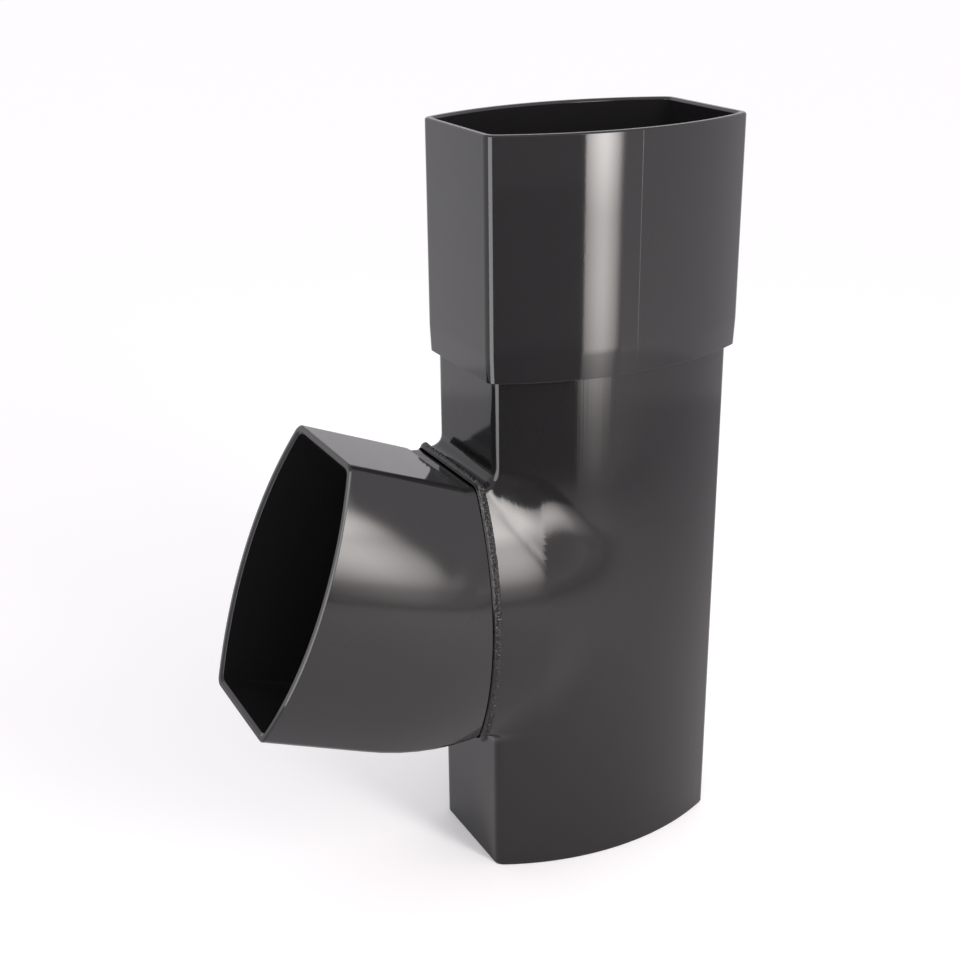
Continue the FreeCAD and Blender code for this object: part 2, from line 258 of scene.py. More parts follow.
def makeBackCard():
    # The far side of the studio, seen by grazing reflections alone
    reach = backCard["reach"]
    corners = uprightCorners(backCard["azimuth"], backCard["distance"], -reach, reach, 0, backCard["high"])
    onlyReflected(stagePiece("backCard", corners, [(0, 1, 2, 3)], plainPaint("backGrey", backCard["tone"])))


def makeFloorSheet():
    # A round of painted shade over the floor, greyer than the floor and lighter towards its middle as
    # painted light, seen by reflections alone
    steps, reach = floorSheet["steps"], floorSheet["reach"]
    turns = [2 * math.pi * i / steps for i in range(steps)]
    corners = [(reach * math.cos(turn), reach * math.sin(turn), floorSheet["level"]) for turn in turns]
    grey = plainPaint("sheetPaintedShade", floorSheet["tones"][0][1])
    tree = grey.node_tree
    place = tree.nodes.new("ShaderNodeMapping")
    place.inputs["Scale"].default_value = (1 / reach, 1 / reach, 1 / reach)
    tree.links.new(tree.nodes.new("ShaderNodeTexCoord").outputs["Object"], place.inputs["Vector"])
    rings = tree.nodes.new("ShaderNodeTexGradient")
    rings.gradient_type = "SPHERICAL"
    tree.links.new(place.outputs["Vector"], rings.inputs["Vector"])
    tone = rampNode(tree, floorSheet["tones"], rings.outputs["Fac"])
    tree.links.new(tone, tree.nodes["Principled BSDF"].inputs["Base Color"])
    onlyReflected(stagePiece("floorSheet", corners, [tuple(range(steps))], grey))


def makeFloor():
    bpy.ops.mesh.primitive_plane_add(size=studio["floorSize"], location=(0, 0, studio["floorLevel"]))
    floor = bpy.context.object
    floor.name = "floor"
    paint = plainPaint("floorPaint", studio["floorTone"])
    shader = paint.node_tree.nodes["Principled BSDF"]
    shader.inputs["Emission Color"].default_value = (1, 1, 1, 1)
    shader.inputs["Emission Strength"].default_value = studio["floorGlow"]
    floor.data.materials.append(paint)


def makeSurround():
    # White all round, a little dimmer overhead
    world = bpy.data.worlds.new("studio")
    bpy.context.scene.world = world
    world.use_nodes = True
    tree = world.node_tree
    background = tree.nodes["Background"]
    background.inputs["Strength"].default_value = studio["surround"]
    parts = tree.nodes.new("ShaderNodeSeparateXYZ")
    tree.links.new(tree.nodes.new("ShaderNodeTexCoord").outputs["Generated"], parts.inputs["Vector"])
    sky = rampNode(tree, studio["skyTones"], parts.outputs["Z"])
    tree.links.new(vectorNode(tree, "MULTIPLY", sky, studio["surroundTint"]), background.inputs["Color"])


makeCamera()
makeSurround()
makeFloor()
makeSoftbox()
makeEdgeLight()
makeDarkCard()
makeFloorSheet()
makeBackCard()
print("camera and studio ready")


# The bowed outline that every piece shares, in millimetres: two straight narrow sides and
# two bowed wide ones. A station from 0 to 8 is a place on it: the side's number and a share.

bowedPipe = {
    "halfWidth": 50.0,
    "halfDepth": 35.0,
    "bow": 109.0,            # radius of the bowed faces
    "corner": 4.0,
    "wall": 2.4,
    "length": 246.0,
}
outlineSamples = 4001        # places in a table of an outline


def sectionGrown(grow, corner):
    return bowedPipe["halfWidth"] + grow, bowedPipe["halfDepth"] + grow, bowedPipe["bow"] + grow, corner


def cornerCentre(section):
    # Centre of the corner's arc, and how far beyond the middle the bow's centre lies
    halfWidth, halfDepth, bow, corner = section
    rise = bow - halfDepth
    return halfWidth - corner, np.sqrt((bow - corner) ** 2 - (halfWidth - corner) ** 2) - rise, rise


def outlineAt(section, station):
    # Places and outward normals at stations on an outline (half width, half depth, bow, corner)
    halfWidth, halfDepth, bow, corner = section
    cornerX, cornerY, rise = cornerCentre(section)
    turn = np.arctan2(cornerY + rise, cornerX)
    side = np.floor(station).astype(int) % 8
    share = station % 1
    zero = np.zeros(np.broadcast(station, halfWidth, halfDepth).shape)
    wide = math.pi - 2 * turn
    start = [zero, zero, turn + zero, math.pi - turn + zero,
             math.pi + zero, math.pi + zero, math.pi + turn + zero, 2 * math.pi - turn + zero]
    span = [zero, turn + zero, wide + zero, turn + zero] * 2
    angle = np.choose(side, start) + np.choose(side, span) * share
    straight = cornerY * (2 * share - 1)
    centreX = [halfWidth + zero, cornerX + zero, zero, zero - cornerX,
               zero - halfWidth, zero - cornerX, zero, cornerX + zero]
    centreY = [straight + zero, cornerY + zero, zero - rise, cornerY + zero,
               zero - straight, zero - cornerY, zero + rise, zero - cornerY]
    reach = np.choose(side, [zero, corner + zero, bow + zero, corner + zero] * 2)
    normalX, normalY = np.cos(angle), np.sin(angle)
    x = np.choose(side, centreX) + reach * normalX
    y = np.choose(side, centreY) + reach * normalY
    return x, y, normalX, normalY


def evenStations(sideSteps, cornerSteps, bowSteps):
    stations = []
    for number, steps in enumerate((sideSteps, cornerSteps, bowSteps, cornerSteps) * 2):
        stations += [number + i / steps for i in range(steps)]
    return np.array(stations)


def outlineDistance(section, x, y):
    # Signed distance from an outline, negative inside it
    halfWidth, _, bow, corner = section
    cornerX, cornerY, rise = cornerCentre(section)
    x, y = np.abs(x), np.abs(y)
    toSide, toBow = x - halfWidth, np.hypot(x, y + rise) - bow
    toCorner = np.hypot(x - cornerX, y - cornerY) - corner
    atCorner = (y > cornerY) & (x * (cornerY + rise) > (y + rise) * cornerX)
    return np.where(atCorner, toCorner, np.where(y <= cornerY, np.maximum(toSide, toBow), toBow))


# A mesh is put together from grids of points with their normals, welded where they meet

def gridOf(points, normals, closed=True, flip=False):
    # rows x columns x 3, in millimetres. Rows run outwards or up, columns anticlockwise.
    rows, columns = points.shape[:2]
    numbers = np.arange(rows * columns).reshape(rows, columns)
    if closed:
        numbers = np.concatenate([numbers, numbers[:, :1]], axis=1)
    first, beside, above, opposite = numbers[:-1, :-1], numbers[:-1, 1:], numbers[1:, :-1], numbers[1:, 1:]
    order = [first, above, opposite, beside] if flip else [first, beside, opposite, above]
    faces = np.stack(order, axis=-1).reshape(-1, 4)
    return points.reshape(-1, 3), np.broadcast_to(normals, points.shape).reshape(-1, 3), faces


def meshOf(name, grids):
    base, points, normals, faces = 0, [], [], []
    for gridPoints, gridNormals, gridFaces in grids:
        points.append(gridPoints)
        normals.append(gridNormals)
        faces.append(gridFaces + base)
        base += len(gridPoints)
    points, normals, faces = (np.concatenate(k) for k in (points, normals, faces))
    _, first, merged = np.unique(np.round(points * 1000).astype(np.int64), axis=0,
                                 return_index=True, return_inverse=True)
    merged = merged.reshape(-1)
    meshFaces, cornerNormals = [], []
    for face in faces:
        kept = {int(merged[number]): number for number in face}
        if len(kept) > 2:
            meshFaces.append(list(kept))
            cornerNormals += [normals[number] for number in kept.values()]
    cornerNormals = np.array(cornerNormals)
    cornerNormals /= np.linalg.norm(cornerNormals, axis=1, keepdims=True)
    mesh = bpy.data.meshes.new(name)
    mesh.from_pydata((points[first] / 1000).tolist(), [], meshFaces)
    mesh.polygons.foreach_set("use_smooth", [True] * len(mesh.polygons))
    mesh.update()
    mesh.normals_split_custom_set(cornerNormals.tolist())
    piece = bpy.data.objects.new(name, mesh)
    bpy.context.scene.collection.objects.link(piece)
    print(name, "has", len(mesh.polygons), "faces")
    return piece


# Main pipe, with the neck that is drawn out of its narrow face

drawnNeck = {
    "mouth": -58.4,          # x of the neck's end
    "level": 113.9,          # height of the neck's axis at its end
    "drop": 1.6,             # how much lower its section is centred inside the ridge
    "ridge": -35.0,          # x of the ridge, where the neck's sides start to flatten
    "ridgeSoft": 6.0,
    "halfHeight": 52.7,
    "halfDepth": 37.2,
    "ridgeDepth": 38.5,
    "rootDepth": 34.5,       # half depth on the pipe's axis, before the sinking
    "sinking": 0.012,        # how fast it dives under the pipe's skin
    "sinksFrom": -10.0,
    "sinkSoft": 3.0,
    "bow": 111.7,
    "rootBow": 200.0,
    "bowedTo": -12.0,        # x from which the neck's sides lose their bow
    "flatFrom": 2.0,         # and from which they are nearly flat
    "corner": 4.5,
    "blend": 5.5,            # how far apart pipe and neck lie where the soft fillet between them ends
    "innerBlend": 3.4,       # and the same where the neck runs out on the bowed faces
    "innerFrom": -14.0,
    "outerTo": -36.0,
}
neckCrease = {
    "from": (-51.0, 43.0),   # x, and height over the neck's axis, of its two ends
    "to": (-32.5, 17.0),
    "halfWidth": 1.7,
    "depth": 0.05,
}
neckMesh = {
    "halfSpan": 82.0,        # window round the neck, along the pipe's outline
    "low": 40.0,
    "high": 186.0,
    "spacing": 1.3,
    "outwardRows": 30,
    "outwardCrowding": 0.8,
    "inwardRows": 26,
    "inwardCrowding": 1.2,
    "belowRows": 15,         # plain pipe below, above and behind the window
    "aboveRows": 21,
    "behindColumns": 91,
    "searches": 30,          # halvings that find where the neck's lines meet the pipe
}
settling = {
    "rounds": 8,
    "longest": 1.0,          # most that a point moves in a round
    "slopeStep": 0.02,
    "leastSlope": 0.05,
}


def softRamp(value, softness):
    # Nought below zero and the value above it, with a soft turn between
    return 0.5 * (value + np.sqrt(value ** 2 + softness ** 2))


def neckSection(x, grow):
    # The neck's section and the height of its middle, at a place x out from the pipe's axis
    neck = drawnNeck
    toRidge = np.clip((x - neck["mouth"]) / (neck["ridge"] - neck["mouth"]), 0, 1)
    past = (softRamp(x - neck["ridge"], neck["ridgeSoft"])
            - softRamp(neck["mouth"] - neck["ridge"], neck["ridgeSoft"]))
    depth = neck["halfDepth"] + (neck["ridgeDepth"] - neck["halfDepth"]) * toRidge
    depth = depth - (neck["ridgeDepth"] - neck["rootDepth"]) * past / -neck["ridge"]
    depth = depth - neck["sinking"] * softRamp(x - neck["sinksFrom"], neck["sinkSoft"]) ** 2
    flat = np.clip((x - neck["bowedTo"]) / (neck["flatFrom"] - neck["bowedTo"]), 0, 1)
    flat = flat * flat * (3 - 2 * flat)
    bow = 1 / ((1 - flat) / neck["bow"] + flat / neck["rootBow"])
    section = neck["halfHeight"] + grow, depth + grow, bow + grow, neck["corner"] + grow
    return section, neck["level"] - neck["drop"] * toRidge


def neckPoint(station, x, grow):
    section, middle = neckSection(x, grow)
    up, y, _, _ = outlineAt(section, station)
    return np.stack([x + 0 * up, y, middle + up], axis=-1)


def creaseDepth(x, z):
    # A faint crease across the neck's drawn sides, which fades out at both ends
    (startX, startZ), (endX, endZ) = neckCrease["from"], neckCrease["to"]
    runX, runZ = endX - startX, endZ - startZ
    up = z - drawnNeck["level"]
    along = ((x - startX) * runX + (up - startZ) * runZ) / (runX ** 2 + runZ ** 2)
    away = ((x - startX) * runZ - (up - startZ) * runX) / math.hypot(runX, runZ)
    swell = np.clip(4 * along * (1 - along), 0, 1) ** 0.5
    return neckCrease["depth"] * swell * np.exp(-(away / neckCrease["halfWidth"]) ** 2)


def skinDistance(points, grow):
    # Distance from pipe and neck as one skin, with a fillet where the two meet
    neck = drawnNeck
    x, y, z = points[..., 0], points[..., 1], points[..., 2]
    pipeSide = outlineDistance(sectionGrown(grow, bowedPipe["corner"] + grow), x, y)
    section, middle = neckSection(x, grow)
    neckSide = outlineDistance(section, z - middle, y) + creaseDepth(x, z)
    inwards = np.clip((x - neck["outerTo"]) / (neck["innerFrom"] - neck["outerTo"]), 0, 1)
    reach = neck["blend"] + (neck["innerBlend"] - neck["blend"]) * inwards * inwards * (3 - 2 * inwards)
    mix = np.maximum(reach - np.abs(pipeSide - neckSide), 0) / reach
    return np.minimum(pipeSide, neckSide) - mix ** 2 * reach / 4


def skinSlope(points, grow):
    step = settling["slopeStep"]
    slopes = []
    for axis in range(3):
        shift = np.zeros(3)
        shift[axis] = step
        slopes.append((skinDistance(points + shift, grow) - skinDistance(points - shift, grow)) / (2 * step))
    return np.stack(slopes, axis=-1)


def settleOnSkin(points, grow, held):
    longest = settling["longest"]
    for _ in range(settling["rounds"]):
        slope = skinSlope(points, grow)
        steep = np.maximum(np.sum(slope ** 2, axis=-1, keepdims=True), settling["leastSlope"])
        step = np.clip(skinDistance(points, grow)[..., None] * slope / steep, -longest, longest)
        points = points - np.where(held[..., None], 0, step)
    return points, skinSlope(points, grow)


def outlineTable(section):
    # Stations once round, with distance along the outline and bearing from the branch side
    station = np.linspace(0.5, 8.5, outlineSamples)
    x, y, _, _ = outlineAt(section, station)
    run = np.concatenate([[0], np.cumsum(np.hypot(np.diff(x), np.diff(y)))])
    bearing = np.unwrap(np.arctan2(-y, -x))
    middle = len(station) // 2
    return station, run - run[middle], bearing - bearing[middle]


def pipePoint(section, table, along, level):
    stations, run, _ = table
    total = run[-1] - run[0]
    station = np.interp((along - run[0]) % total + run[0], run, stations)
    x, y, normalX, normalY = outlineAt(section, station)
    points = np.stack([x, y, level + 0 * x], axis=-1)
    return points, np.stack([normalX, normalY, 0 * x], axis=-1)


def meetingPlaces(station, section, table, grow):
    # x where the neck's line from each station runs into the pipe, and that place on the pipe
    outer, inner = np.full(len(station), drawnNeck["mouth"]), np.zeros(len(station))
    for _ in range(neckMesh["searches"]):
        x = (outer + inner) / 2
        met = neckPoint(station, x, grow)
        buried = outlineDistance(section, met[:, 0], met[:, 1]) < 0
        inner, outer = np.where(buried, x, inner), np.where(buried, outer, x)
    bearing = np.arctan2(-met[:, 1], -met[:, 0])
    return x, np.interp(bearing, table[2], table[1]), met[:, 2]


def pipeSkin(grow):
    # One skin of the pipe: plain grids below, behind and above a window round the neck, and
    # rings that run from the window's edge to where the neck meets the pipe and to its mouth
    mesh = neckMesh
    halfSpan, low, high = mesh["halfSpan"], mesh["low"], mesh["high"]
    section = sectionGrown(grow, bowedPipe["corner"] + grow)
    table = outlineTable(section)
    total = table[1][-1] - table[1][0]
    columns = round(2 * halfSpan / mesh["spacing"])
    rows = round((high - low) / mesh["spacing"])
    window = np.linspace(-halfSpan, halfSpan, columns + 1)
    behind = np.linspace(halfSpan, total - halfSpan, mesh["behindColumns"])
    around = np.concatenate([window, behind[1:-1]])
    levels = np.linspace(low, high, rows + 1)
    belowLevels = np.linspace(0, low, mesh["belowRows"])
    aboveLevels = np.linspace(high, bowedPipe["length"], mesh["aboveRows"])
    bore = grow < 0
    grids, plain = [], []
    for heights, lengths, closed in ((belowLevels, around, True), (levels, behind, False),
                                     (aboveLevels, around, True)):
        points, normals = pipePoint(section, table, *np.meshgrid(lengths, heights))
        grids.append(gridOf(points, -normals if bore else normals, closed, bore))
        plain.append(points)

    edgeAlong = np.concatenate([window[:-1], np.full(rows, halfSpan),
                                window[:0:-1], np.full(rows, -halfSpan)])
    edgeLevel = np.concatenate([np.full(columns, low), levels[:-1],
                                np.full(columns, high), levels[:0:-1]])

    # stations of the mouth whose meeting places lie in the same direction as the edge's points
    middle = drawnNeck["level"] - drawnNeck["drop"] / 2
    stations = np.linspace(0, 8, outlineSamples)
    _, alongs, heights = meetingPlaces(stations, section, table, grow)
    direction = np.unwrap(np.arctan2(heights - middle, alongs))
    sense = np.sign(direction[-1] - direction[0])
    wanted = np.arctan2(edgeLevel - middle, edgeAlong)
    turned = (sense * (wanted - direction[0])) % (2 * math.pi)
    station = np.interp(turned, np.maximum.accumulate(sense * (direction - direction[0])), stations)
    meetX, meetAlong, meetLevel = meetingPlaces(station, section, table, grow)

    rings = []
    for i in range(mesh["outwardRows"] + 1):
        share = (i / mesh["outwardRows"]) ** mesh["outwardCrowding"]
        along = edgeAlong + (meetAlong - edgeAlong) * share
        rings.append(pipePoint(section, table, along, edgeLevel + (meetLevel - edgeLevel) * share)[0])
    for i in range(1, mesh["inwardRows"] + 1):
        share = (i / mesh["inwardRows"]) ** mesh["inwardCrowding"]
        rings.append(neckPoint(station, meetX + (drawnNeck["mouth"] - meetX) * share, grow))
    rings = np.array(rings)
    held = np.zeros(rings.shape[:2], bool)
    held[0] = held[-1] = True
    points, normals = settleOnSkin(rings, grow, held)
    grids.append(gridOf(points, -normals if bore else normals, True, bore))
    return grids, plain[0][0], plain[2][-1], points[-1]


def makeMainPipe():
    outer, outerFoot, outerTop, outerMouth = pipeSkin(0.0)
    inner, innerFoot, innerTop, innerMouth = pipeSkin(-bowedPipe["wall"])
    grids = outer + inner
    grids.append(gridOf(np.stack([outerFoot, innerFoot]), (0, 0, -1), True, True))
    grids.append(gridOf(np.stack([outerTop, innerTop]), (0, 0, 1), True, False))
    grids.append(gridOf(np.stack([outerMouth, innerMouth]), (-1, 0, 0), True, True))
    piece = meshOf("mainPipe", grids)
    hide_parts("main_pipe")
    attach(piece, "root")
    return piece


# Moulded sleeves, each a closed profile carried round the bowed outline

sleeve = {
    "outside": 3.2,          # how far the sleeve stands out from the pipe's outline
    "bore": 0.2,
    "rib": -2.0,             # stop rib
    "corner": 4.5,
    "boreCorner": 4.2,
    "mouthBevel": 0.55,
    "leadIn": 1.05,          # bevel inside the mouth: its depth across the wall and its length
    "leadLength": 0.8,
    "socketDepth": 42.0,
    "ribThickness": 3.0,
    "edgeRound": 0.25,
    "boreRound": 0.3,
    "footRound": 0.15,
    "longest": 4.0,          # longest stretch between two rings
    "steps": (12, 8, 80),    # along a narrow side, a corner and a bowed side
    "outsideFrom": 1.0,      # what stands out more than this is the outside
    "outsideFacing": 0.5,    # and so is what faces outwards more than this
}
partingLine = {
    "x": 0.0,                # of the mould's parting line, on both bowed faces
    "clear": 0.6,            # no other station stands closer
    "shape": ((-0.35, 0), (-0.15, 0.45), (0, 1), (0.15, 0.45), (0.35, 0)),     # offset, share of height
    "softness": 0.45,
    "facing": 0.9,           # how squarely the skin under it faces outwards
}
upperSleeve = {
    "foot": 204.5,           # height of its lower edge
    "length": 86.5,
    "footHeight": 10.0,      # lowest stretch, which draws in towards the edge
    "footInset": 0.4,
    "footBend": 60.0,
    "footSteps": 6,
    "seamHeight": 0.055,
    "draft": 0.0,
    "draftLength": 1.0,
}
branchSleeve = {
    "start": -58.4,          # x of the joint with the neck
    "level": 113.9,
    "rise": 21.5,            # degrees
    "levelRun": 4.4,
    "bendRadius": 57.2,
    "barrelSpare": 0.4,
    "seamHeight": 0.0,
    "draft": 1.3,            # how much it narrows towards the joint
    "draftLength": 38.0,     # and over which length
}


def roundedProfile(corners):
    # corners are (along, outwards, radius, steps): a closed profile with its corners rounded,
    # as places and normals in the same two directions
    places, normals = [], []
    count = len(corners)
    for i, (along, outwards, radius, steps) in enumerate(corners):
        here = np.array([along, outwards])
        before, after = np.array(corners[i - 1][:2]), np.array(corners[(i + 1) % count][:2])
        inDirection = (here - before) / np.linalg.norm(here - before)
        outDirection = (after - here) / np.linalg.norm(after - here)
        inNormal = np.array([-inDirection[1], inDirection[0]])
        bendBy = math.atan2(inDirection[0] * outDirection[1] - inDirection[1] * outDirection[0],
                            float(inDirection @ outDirection))
        bendSide = math.copysign(1, bendBy)
        cut = radius * math.tan(abs(bendBy) / 2)
        centre = here - inDirection * cut + inNormal * radius * bendSide
        for k in range(steps + 1):
            cosine, sine = math.cos(bendBy * k / steps), math.sin(bendBy * k / steps)
            normal = np.array([inNormal[0] * cosine - inNormal[1] * sine,
                               inNormal[0] * sine + inNormal[1] * cosine])
            places.append(centre - normal * radius * bendSide)
            normals.append(normal)
    places.append(places[0])
    normals.append(normals[0])
    return np.array(places), np.array(normals)


def splitLong(places, normals, longest):
    # Adds places to the profile's long straight stretches
    newPlaces, newNormals = [places[0]], [normals[0]]
    for i in range(1, len(places)):
        steps = max(1, math.ceil(np.linalg.norm(places[i] - places[i - 1]) / longest))
        for k in range(1, steps + 1):
            newPlaces.append(places[i - 1] + (places[i] - places[i - 1]) * k / steps)
            newNormals.append(normals[i - 1] + (normals[i] - normals[i - 1]) * k / steps)
    return np.array(newPlaces), np.array(newNormals)


def sleeveProfile(foot, length):
    # From the foot up the outside, over the mouth and down the bore. foot gives the corners
    # of the sleeve's lower end on its outside.
    outside, bore, rib = sleeve["outside"], sleeve["bore"], sleeve["rib"]
    ribTop = length - sleeve["socketDepth"]
    ribFoot = ribTop - sleeve["ribThickness"]
    edge, soft = sleeve["edgeRound"], sleeve["boreRound"]
    corners = foot + [
        (length - sleeve["mouthBevel"], outside, edge, 4),
        (length, outside - sleeve["mouthBevel"], edge, 4),
        (length, bore + sleeve["leadIn"], edge, 4),
        (length - sleeve["leadLength"], bore, soft, 4),
        (ribTop, bore, soft, 3),
        (ribTop, rib, soft, 3),
        (ribFoot, rib, soft, 3),
        (ribFoot, bore, soft, 3),
        (0.0, bore, sleeve["footRound"], 3),
    ]
    return splitLong(*roundedProfile(corners), sleeve["longest"])


def stationAt(section, x, front):
    # Station on a bowed face that lies at x
    halfWidth, _, bow, corner = section
    turn = math.acos((halfWidth - corner) / (bow - corner))
    share = (math.acos(x / bow) - turn) / (math.pi - 2 * turn)
    return 7 - share if front else 2 + share


def seamStations(outside, seamHeight):
    # Stations round a sleeve, with the height and the slope of the parting line on each
    station = evenStations(*sleeve["steps"])
    if seamHeight > 0:
        station = station[np.abs(outlineAt(outside, station)[0] - partingLine["x"]) > partingLine["clear"]]
    ridges = np.zeros(len(station))
    for front in (True, False):
        for offset, share in partingLine["shape"]:
            station = np.append(station, stationAt(outside, partingLine["x"] + offset, front))
            ridges = np.append(ridges, share * seamHeight)
    order = np.argsort(station)
    station, ridges = station[order], ridges[order]
    tilts = (np.roll(ridges, 1) - np.roll(ridges, -1)) / partingLine["softness"] * (ridges > 0)
    return station, ridges, tilts


def makeSleeve(name, node, made, foot, length, ringAt):
    # ringAt gives, for a distance along the sleeve, its centre and its three directions
    places, normals = sleeveProfile(foot, length)
    # the outside narrows softly towards the foot where a draft is given
    isOutside = places[:, 1] > sleeve["outsideFrom"]
    facesOut = normals[:, 1] > sleeve["outsideFacing"]
    narrow = np.clip(1 - places[:, 0] / made["draftLength"], 0, 1) * isOutside
    places[:, 1] -= made["draft"] * narrow ** 3
    normals[:, 0] -= 3 * made["draft"] / made["draftLength"] * narrow ** 2 * facesOut
    outside = sectionGrown(sleeve["outside"], sleeve["corner"])
    station, ridges, tilts = seamStations(outside, made["seamHeight"])
    rows, rowNormals = [], []
    for (along, outwards), (normalAlong, normalOutwards) in zip(places, normals):
        toBore = (sleeve["outside"] - outwards) / (sleeve["outside"] - sleeve["bore"])
        corner = sleeve["corner"] + (sleeve["boreCorner"] - sleeve["corner"]) * min(max(toBore, 0), 1)
        x, y, normalX, normalY = outlineAt(sectionGrown(outwards, corner), station)
        onSkin = normalOutwards if normalOutwards > partingLine["facing"] else 0.0
        x, y = x + normalX * ridges * onSkin, y + normalY * ridges * onSkin
        normalX, normalY = normalX - normalY * tilts * onSkin, normalY + normalX * tilts * onSkin
        centre, wide, deep, forward = ringAt(along)
        rows.append(centre + x[:, None] * wide + y[:, None] * deep)
        level = normalX[:, None] * wide + normalY[:, None] * deep
        rowNormals.append(normalOutwards * level + normalAlong * forward)
    piece = meshOf(name, [gridOf(np.array(rows), np.array(rowNormals))])
    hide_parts(node)
    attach(piece, "root")
    return piece


def upperRing(along):
    return (np.array([0, 0, upperSleeve["foot"] + along]), np.array([1.0, 0, 0]), np.array([0, 1.0, 0]),
            np.array([0, 0, 1.0]))


def makeUpperSleeve():
    foot = [
        (0.0, sleeve["outside"] - upperSleeve["footInset"], sleeve["edgeRound"], 4),
        (upperSleeve["footHeight"], sleeve["outside"], upperSleeve["footBend"], upperSleeve["footSteps"]),
    ]
    return makeSleeve("upperSleeve", "upper_socket", upperSleeve, foot, upperSleeve["length"], upperRing)


def branchRing(along):
    # The branch sleeve's axis: a level run, a bend and the rising barrel
    radius, rise = branchSleeve["bendRadius"], math.radians(branchSleeve["rise"])
    run = min(along, branchSleeve["levelRun"])
    turn = min(max(along - branchSleeve["levelRun"], 0) / radius, rise)
    straight = max(along - branchSleeve["levelRun"] - radius * rise, 0)
    forward = np.array([-math.cos(turn), 0, math.sin(turn)])
    wide = np.array([math.sin(turn), 0, math.cos(turn)])
    bendStart = np.array([branchSleeve["start"] - run, 0, branchSleeve["level"]])
    centre = bendStart + radius * np.array([-math.sin(turn), 0, 1 - math.cos(turn)]) + forward * straight
    return centre, wide, np.array([0, 1.0, 0]), forward


def makeBranchSleeve():
    bend = branchSleeve["bendRadius"] * math.radians(branchSleeve["rise"])
    length = (branchSleeve["levelRun"] + bend + branchSleeve["barrelSpare"]
              + sleeve["ribThickness"] + sleeve["socketDepth"])
    foot = [(0.0, sleeve["outside"], sleeve["edgeRound"], 3)]
    return makeSleeve("branchSleeve", "branch_socket", branchSleeve, foot, length, branchRing)


# Weld bead where the neck and the branch sleeve were joined

weldBead = {
    "width": 3.1,
    "aside": 1.95,           # how far its middle lies on the neck's side of the joint
    "height": -0.1,          # over the sleeve's bowed faces
    "endHeight": 0.8,        # over its short faces
    "groove": 2.0,           # depth of the groove along the sleeve
    "neckSide": 1.5,
    "fullness": 0.75,        # below 1 its section is fuller than half a round
    "root": 2.6,             # how deep its hidden inner edge lies
    "grain": 0.7,            # size of its grains
    "grainHeight": 0.55,
    "lumpScale": 0.3,        # slower lumps under the grain
    "lumpShare": 0.5,
    "highest": 1.15,         # limits of height, over the sleeve and from the bead's own skin
    "lowest": -0.6,
    "sideways": 0.4,         # share of the grain that goes along the pipe
    "crumbs": 2.2,           # how much coarser it is at the lower front corner
    "crumbPlace": (-49.0, -26.0),      # over the axis, and y
    "crumbSpread": 50.0,
    "columns": 2000,
    "rows": 16,
    "seed": 7.3,
}


def beadRows(up, y, normalUp, normalY, height):
    # The smooth bead: arcs from the neck's side over its top to the groove, closed by a hidden edge
    bead, level = weldBead, drawnNeck["level"]
    middle = drawnNeck["mouth"] + bead["aside"]
    rows = []
    for i in range(bead["rows"] + 1):
        turn = math.pi * i / bead["rows"]
        fall = bead["neckSide"] if turn < math.pi / 2 else bead["groove"]
        reach = (height + fall) * math.sin(turn) ** bead["fullness"] - fall
        x = middle + bead["width"] / 2 * math.cos(turn)
        rows.append(np.stack([x + 0 * up, y + normalY * reach, level + up + normalUp * reach], axis=-1))
    root = bead["root"]
    rows.append(np.stack([middle + 0 * up, y - normalY * root, level + up - normalUp * root], axis=-1))
    rows.append(rows[0])
    return np.array(rows)


def makeWeldBead():
    bead = weldBead
    stations = np.linspace(0, 8, outlineSamples)
    section = sectionGrown(sleeve["outside"], sleeve["corner"])
    up, y, _, _ = outlineAt(section, stations)
    run = np.concatenate([[0], np.cumsum(np.hypot(np.diff(up), np.diff(y)))])
    station = np.interp(np.linspace(0, run[-1], bead["columns"], endpoint=False), run, stations)
    up, y, normalUp, normalY = outlineAt(section, station)
    height = bead["height"] + (bead["endHeight"] - bead["height"]) * np.abs(normalUp) ** 3
    crumbUp, crumbY = bead["crumbPlace"]
    coarse = 1 + bead["crumbs"] * np.exp(-((up - crumbUp) ** 2 + (y - crumbY) ** 2) / bead["crumbSpread"])
    points = beadRows(up, y, normalUp, normalY, height)
    for i in range(1, bead["rows"]):
        edge = math.sin(math.pi * i / bead["rows"])
        for k in range(bead["columns"]):
            place = Vector(points[i, k]) / (bead["grain"] * coarse[k] ** 0.5) + Vector((bead["seed"], 0, 0))
            lump = noise.noise(place) + bead["lumpShare"] * noise.noise(place * bead["lumpScale"])
            shift = bead["grainHeight"] * lump * edge * coarse[k]
            shift = max(min(shift, bead["highest"] - height[k]), bead["lowest"])
            points[i, k] += np.array([shift * bead["sideways"], normalY[k] * shift, normalUp[k] * shift])
    alongRow = np.roll(points, -1, axis=1) - np.roll(points, 1, axis=1)
    normals = np.cross(alongRow, np.gradient(points, axis=0))
    outward = np.stack([0 * up, normalY, normalUp], axis=-1)
    sense = np.sign(np.sum(normals[bead["rows"] // 2] * outward, axis=-1).mean())
    piece = meshOf("weldBead", [gridOf(points, normals * sense, True, sense < 0)])
    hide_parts("weld_bead")
    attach(piece, "root")
    return piece


mainPipe = makeMainPipe()
upperSocket = makeUpperSleeve()
branchSocket = makeBranchSleeve()
weld = makeWeldBead()
print("pieces made")


# Plastics. One group makes the finish of all four pieces: fine lines along the pipe from its
# die, slow waves of the mould, grain, scuffs and a little pale dust.

